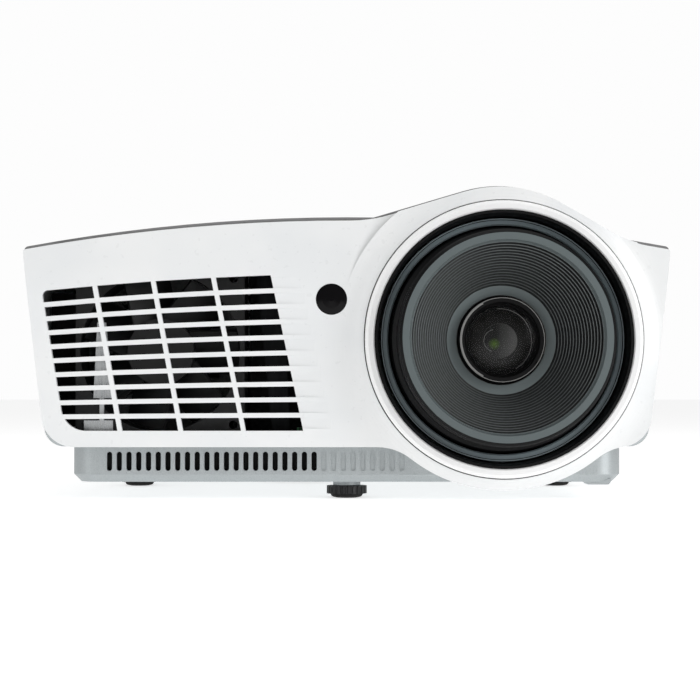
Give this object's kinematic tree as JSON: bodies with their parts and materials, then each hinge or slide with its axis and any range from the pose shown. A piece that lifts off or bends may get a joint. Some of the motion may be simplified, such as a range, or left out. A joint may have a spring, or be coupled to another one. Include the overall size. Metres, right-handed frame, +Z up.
{
  "type": "home projector",
  "caption": "Portable home projector with a large ribbed wide-angle lens in a humped white front, an air grille beside it and screw feet.",
  "frame": {"origin": "on the table under the middle of the object's bounding box", "axes": "+Z up, the lens looks along -Y, +X to the right of a person facing the lens"},
  "size_m": [0.2896, 0.244, 0.1408],
  "materials": {
    "white_plastic": "glossy white",
    "silver_plastic": "fine silver grey",
    "black_plastic": "satin black",
    "lens_ring_plastic": "satin dark blue-grey",
    "panel_plastic": "dark grey",
    "foot_rubber": "matt",
    "lens_glass": "coated",
    "wheel_glass": "dichroic",
    "quartz": "clear",
    "ir_plastic": "polished near-black",
    "indicator_plastic": "frosted",
    "circuit_board": "solder mask",
    "cast_alloy": "cast",
    "black_alloy": "black anodised",
    "sheet_steel": "zinc plated",
    "lamp_shell": "matt",
    "reflector_glass": "coated",
    "screw_steel": "black zinc",
    "insert_brass": "machined"
  },
  "bodies": {
    "body": {"front_bezel": "white_plastic", "top_cover": "white_plastic", "lens_trim_ring": "white_plastic", "bottom_case": "silver_plastic", "lens_shroud": "black_plastic", "exhaust_fan_frame": "black_plastic", "blower_housing": "black_plastic", "power_inlet": "black_plastic", "audio_jacks": "black_plastic", "speaker": "black_plastic", "rear_panel": "panel_plastic", "relay_lens": "lens_glass", "lamp_burner": "quartz", "ir_window": "ir_plastic", "indicator_lenses": "indicator_plastic", "main_board": "circuit_board", "power_supply": "circuit_board", "lamp_ballast": "circuit_board", "dmd_board": "circuit_board", "keypad_board": "circuit_board", "ir_receiver": "circuit_board", "engine_housing": "cast_alloy", "light_tunnel": "cast_alloy", "dmd_heat_sink": "cast_alloy", "lens_barrel": "black_alloy", "fan_bracket": "sheet_steel", "lamp_handle": "sheet_steel", "color_wheel_motor": "sheet_steel", "video_connectors": "sheet_steel", "lamp_housing": "lamp_shell", "lamp_reflector": "reflector_glass", "board_screws": "screw_steel", "case_screws": "screw_steel", "foot_inserts": "insert_brass"},
    "focus_ring": {"focus_ring": "lens_ring_plastic"},
    "front_cell": {"front_lens_cell": "black_plastic", "front_lens": "lens_glass"},
    "zoom_ring": {"zoom_ring": "lens_ring_plastic"},
    "zoom_cell": {"zoom_lens_cell": "black_plastic", "zoom_lens": "lens_glass"},
    "exhaust_rotor": {"exhaust_fan_rotor": "black_plastic"},
    "blower_wheel": {"blower_rotor": "black_plastic"},
    "color_wheel": {"color_wheel": "wheel_glass"},
    "lamp_door": {"lamp_door": "white_plastic", "lamp_door_screw": "screw_steel"},
    "front_foot_pad": {"front_foot_pad": "foot_rubber"},
    "front_foot_wheel": {"front_foot_wheel": "black_plastic"},
    "left_foot_pad": {"left_foot_pad": "foot_rubber"},
    "left_foot_wheel": {"left_foot_wheel": "black_plastic"},
    "right_foot_pad": {"right_foot_pad": "foot_rubber"},
    "right_foot_wheel": {"right_foot_wheel": "black_plastic"},
    "enter_button": {"enter_button": "silver_plastic"},
    "up_button": {"up_button": "silver_plastic"},
    "down_button": {"down_button": "silver_plastic"},
    "left_button": {"left_button": "silver_plastic"},
    "right_button": {"right_button": "silver_plastic"},
    "power_button": {"power_button": "silver_plastic"},
    "menu_button": {"menu_button": "silver_plastic"},
    "source_button": {"source_button": "silver_plastic"}
  },
  "joints": [
    {"name": "focus_turn", "type": "hinge", "parent": "body", "child": "focus_ring", "pos_m": [0.0693, -0.098, 0.0717], "axis": [0, -1, 0], "range_deg": [-60, 60]},
    {"name": "focus_slide", "type": "slide", "parent": "body", "child": "front_cell", "axis": [0, -1, 0], "range_m": [-0.0012, 0.0012]},
    {"name": "zoom_turn", "type": "hinge", "parent": "body", "child": "zoom_ring", "pos_m": [0.0693, -0.098, 0.0717], "axis": [0, -1, 0], "range_deg": [-20, 20]},
    {"name": "zoom_slide", "type": "slide", "parent": "body", "child": "zoom_cell", "axis": [0, -1, 0], "range_m": [-0.003, 0.003]},
    {"name": "exhaust_spin", "type": "hinge", "parent": "body", "child": "exhaust_rotor", "pos_m": [-0.084, -0.084, 0.0667], "axis": [0, 1, 0], "continuous": true},
    {"name": "blower_spin", "type": "hinge", "parent": "body", "child": "blower_wheel", "pos_m": [-0.025, 0.0812, 0.0105], "axis": [0, 0, 1], "continuous": true},
    {"name": "color_wheel_spin", "type": "hinge", "parent": "body", "child": "color_wheel", "pos_m": [-0.039, 0.01, 0.0527], "axis": [1, 0, 0], "continuous": true},
    {"name": "lamp_door_lift", "type": "slide", "parent": "body", "child": "lamp_door", "axis": [0, 0, 1], "range_m": [0, 0.06]},
    {"name": "front_foot_extend", "type": "slide", "parent": "body", "child": "front_foot_pad", "axis": [0, 0, -1], "range_m": [0, 0.01]},
    {"name": "front_foot_turn", "type": "hinge", "parent": "front_foot_pad", "child": "front_foot_wheel", "pos_m": [0, -0.063, 0.0019], "axis": [0, 0, -1], "range_deg": [0, 1440]},
    {"name": "left_foot_extend", "type": "slide", "parent": "body", "child": "left_foot_pad", "axis": [0, 0, -1], "range_m": [0, 0.01]},
    {"name": "left_foot_turn", "type": "hinge", "parent": "left_foot_pad", "child": "left_foot_wheel", "pos_m": [-0.1088, 0.044, 0.0019], "axis": [0, 0, -1], "range_deg": [0, 1440]},
    {"name": "right_foot_extend", "type": "slide", "parent": "body", "child": "right_foot_pad", "axis": [0, 0, -1], "range_m": [0, 0.01]},
    {"name": "right_foot_turn", "type": "hinge", "parent": "right_foot_pad", "child": "right_foot_wheel", "pos_m": [0.1088, 0.044, 0.0019], "axis": [0, 0, -1], "range_deg": [0, 1440]},
    {"name": "enter_press", "type": "slide", "parent": "body", "child": "enter_button", "axis": [0, 0, -1], "range_m": [0, 0.0008], "stiffness_N_per_m": 300},
    {"name": "up_press", "type": "slide", "parent": "body", "child": "up_button", "axis": [0, 0, -1], "range_m": [0, 0.0008], "stiffness_N_per_m": 300},
    {"name": "down_press", "type": "slide", "parent": "body", "child": "down_button", "axis": [0, 0, -1], "range_m": [0, 0.0008], "stiffness_N_per_m": 300},
    {"name": "left_press", "type": "slide", "parent": "body", "child": "left_button", "axis": [0, 0, -1], "range_m": [0, 0.0008], "stiffness_N_per_m": 300},
    {"name": "right_press", "type": "slide", "parent": "body", "child": "right_button", "axis": [0, 0, -1], "range_m": [0, 0.0008], "stiffness_N_per_m": 300},
    {"name": "power_press", "type": "slide", "parent": "body", "child": "power_button", "axis": [0, 0, -1], "range_m": [0, 0.0008], "stiffness_N_per_m": 300},
    {"name": "menu_press", "type": "slide", "parent": "body", "child": "menu_button", "axis": [0, 0, -1], "range_m": [0, 0.0008], "stiffness_N_per_m": 300},
    {"name": "source_press", "type": "slide", "parent": "body", "child": "source_button", "axis": [0, 0, -1], "range_m": [0, 0.0008], "stiffness_N_per_m": 300}
  ],
  "couplings": [
    {"joint": "focus_slide", "follows": "focus_turn", "m_per_rad": 0.0011459},
    {"joint": "zoom_slide", "follows": "zoom_turn", "m_per_rad": 0.0085944},
    {"joint": "front_foot_turn", "follows": "front_foot_extend", "rad_per_m": 2513.3},
    {"joint": "left_foot_turn", "follows": "left_foot_extend", "rad_per_m": 2513.3},
    {"joint": "right_foot_turn", "follows": "right_foot_extend", "rad_per_m": 2513.3}
  ]
}
